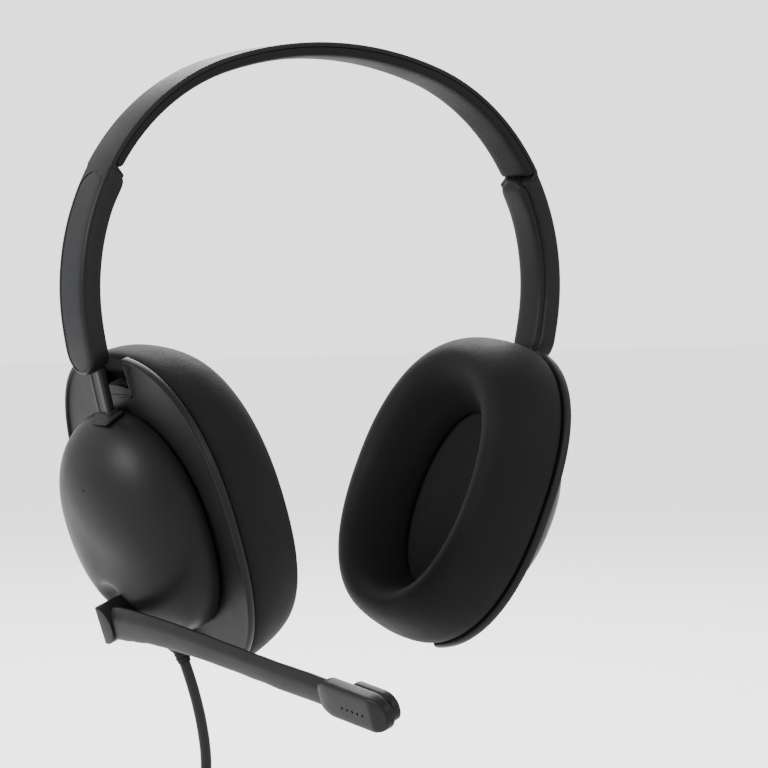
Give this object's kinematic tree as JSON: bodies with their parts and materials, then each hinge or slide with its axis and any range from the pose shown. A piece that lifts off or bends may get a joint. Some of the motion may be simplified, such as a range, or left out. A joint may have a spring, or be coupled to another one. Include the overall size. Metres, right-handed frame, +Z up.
{
  "type": "office headset",
  "caption": "Over-ear office headset: padded band, oval ear cups on sliding stems, turning microphone boom and a short lead with a flat quick-disconnect plug.",
  "frame": {"origin": "the point under the middle of the headband pad that rests on top of the head", "axes": "+Z up, the wearer faces -Y, X runs from ear to ear with the right ear and the microphone on -X"},
  "size_m": [0.1684, 0.1667, 0.3161],
  "materials": {
    "frame_plastic": "fine moulded grain",
    "inlay_plastic": "soft-touch",
    "pad_leather": "fine-grained leatherette",
    "spring_steel": "rolled strip",
    "wire_rubber": "smooth",
    "stem_plastic": "satin acetal",
    "collar_rubber": "matte",
    "ball_chrome": "polished",
    "inner_plastic": "plain moulded",
    "shell_plastic": "fine moulded grain",
    "screw_steel": "zinc plated",
    "speaker_frame": "plain moulded",
    "magnet_steel": "plated",
    "cone_film": "thin film",
    "speaker_fabric": "open weave",
    "cushion_leather": "fine-grained leatherette",
    "board_green": "solder mask",
    "boom_plastic": "fine moulded grain",
    "mic_metal": "plain",
    "cord_rubber": "satin jacket",
    "plug_plastic": "coarse spark-eroded grain",
    "contact_brass": "gold plated"
  },
  "bodies": {
    "headband": {"headband_frame": "frame_plastic", "headband_pad": "pad_leather", "band_spring": "spring_steel", "band_wire": "wire_rubber", "arm_inlay_right": "inlay_plastic", "arm_inlay_left": "inlay_plastic", "arm_cover_right": "frame_plastic", "arm_cover_left": "frame_plastic", "detent_spring_right": "spring_steel", "detent_spring_left": "spring_steel"},
    "slider_right": {"slider_stem_right": "stem_plastic", "stem_collar_right": "collar_rubber"},
    "swivel_right": {"pivot_ball_right": "ball_chrome"},
    "ear_cup_right": {"pivot_socket_right": "inner_plastic", "outer_shell_right": "shell_plastic", "ear_tray_right": "shell_plastic", "baffle_right": "inner_plastic", "baffle_screws_right": "screw_steel", "speaker_basket_right": "speaker_frame", "speaker_magnet_right": "magnet_steel", "speaker_cone_right": "cone_film", "speaker_cloth_right": "speaker_fabric", "cushion_ring_right": "inner_plastic", "ear_cushion_right": "cushion_leather", "circuit_board": "board_green", "boom_axle": "screw_steel", "boom_washer": "spring_steel", "cord_gland": "collar_rubber", "cord": "cord_rubber", "cord_coil": "cord_rubber", "cord_tail": "cord_rubber", "coil_tie": "collar_rubber", "plug_relief": "cord_rubber", "plug_body": "plug_plastic", "plug_cap": "plug_plastic", "plug_contacts": "contact_brass"},
    "slider_left": {"slider_stem_left": "stem_plastic", "stem_collar_left": "collar_rubber"},
    "swivel_left": {"pivot_ball_left": "ball_chrome"},
    "ear_cup_left": {"pivot_socket_left": "inner_plastic", "outer_shell_left": "shell_plastic", "ear_tray_left": "shell_plastic", "baffle_left": "inner_plastic", "baffle_screws_left": "screw_steel", "speaker_basket_left": "speaker_frame", "speaker_magnet_left": "magnet_steel", "speaker_cone_left": "cone_film", "speaker_cloth_left": "speaker_fabric", "cushion_ring_left": "inner_plastic", "ear_cushion_left": "cushion_leather"},
    "boom": {"boom_arm": "boom_plastic", "mic_housing": "boom_plastic", "mic_cover": "boom_plastic", "mic_element": "mic_metal"},
    "latch_right": {"plug_latch_right": "plug_plastic"},
    "latch_left": {"plug_latch_left": "plug_plastic"}
  },
  "joints": [
    {"name": "slide_right", "type": "slide", "parent": "headband", "child": "slider_right", "axis": [0.2504, 0, -0.9681], "range_m": [0, 0.016]},
    {"name": "swivel_right", "type": "hinge", "parent": "slider_right", "child": "swivel_right", "pos_m": [-0.07044, 0, -0.10983], "axis": [0.2504, 0, -0.9681], "range_deg": [-6, 6]},
    {"name": "tilt_right", "type": "hinge", "parent": "swivel_right", "child": "ear_cup_right", "pos_m": [-0.07044, 0, -0.10983], "axis": [0, -1, 0], "range_deg": [-6, 3]},
    {"name": "slide_left", "type": "slide", "parent": "headband", "child": "slider_left", "axis": [-0.2504, 0, -0.9681], "range_m": [0, 0.016]},
    {"name": "swivel_left", "type": "hinge", "parent": "slider_left", "child": "swivel_left", "pos_m": [0.07044, 0, -0.10983], "axis": [0.2504, 0, 0.9681], "range_deg": [-6, 6]},
    {"name": "tilt_left", "type": "hinge", "parent": "swivel_left", "child": "ear_cup_left", "pos_m": [0.07044, 0, -0.10983], "axis": [0, 1, 0], "range_deg": [-6, 3]},
    {"name": "boom_turn", "type": "hinge", "parent": "ear_cup_right", "child": "boom", "pos_m": [-0.06426, 0.007, -0.15919], "axis": [-0.9367, 0, -0.3502], "range_deg": [-30, 120]},
    {"name": "squeeze_right", "type": "hinge", "parent": "ear_cup_right", "child": "latch_right", "pos_m": [-0.0429, 0.0068, -0.3036], "axis": [0, -1, 0], "range_deg": [0, 3], "stiffness_Nm_per_rad": 0.05},
    {"name": "squeeze_left", "type": "hinge", "parent": "ear_cup_right", "child": "latch_left", "pos_m": [-0.0251, 0.0068, -0.3036], "axis": [0, 1, 0], "range_deg": [0, 3], "stiffness_Nm_per_rad": 0.05}
  ]
}
